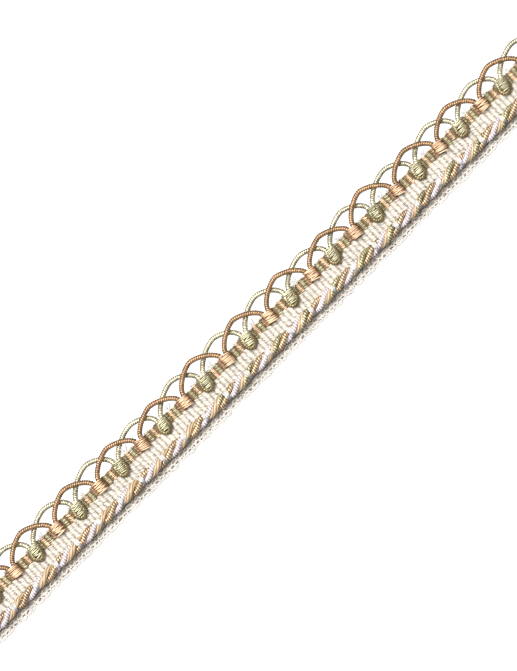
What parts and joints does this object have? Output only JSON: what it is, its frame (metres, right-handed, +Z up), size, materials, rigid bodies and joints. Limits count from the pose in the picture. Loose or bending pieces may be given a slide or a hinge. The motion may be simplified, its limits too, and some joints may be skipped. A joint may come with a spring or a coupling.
{
  "type": "cord trim",
  "caption": "Woven furnishing braid with overlapping gimp loops along one edge, and a twisted cord and a flat sewing lip along the other.",
  "frame": {"origin": "under the middle of the trim's box, on the surface that the tape lies on", "axes": "+X along the trim, +Y across it towards the gimp loops, +Z up out of its face"},
  "size_m": [0.33, 0.0249, 0.0061],
  "materials": {
    "lip_cotton": "matt knitted cotton, off-white",
    "band_silk": "soft sheen on ribbed cream weave",
    "peach_silk": "satin winding, peach gold",
    "green_silk": "satin winding, sage green",
    "cord_silk": "satin plies of peach, white, sage and tan silk"
  },
  "bodies": {
    "root": {"lip_tape": "lip_cotton", "woven_band": "band_silk", "peach_gimp": "peach_silk", "green_gimp": "green_silk", "twisted_cord": "cord_silk"}
  },
  "joints": []
}
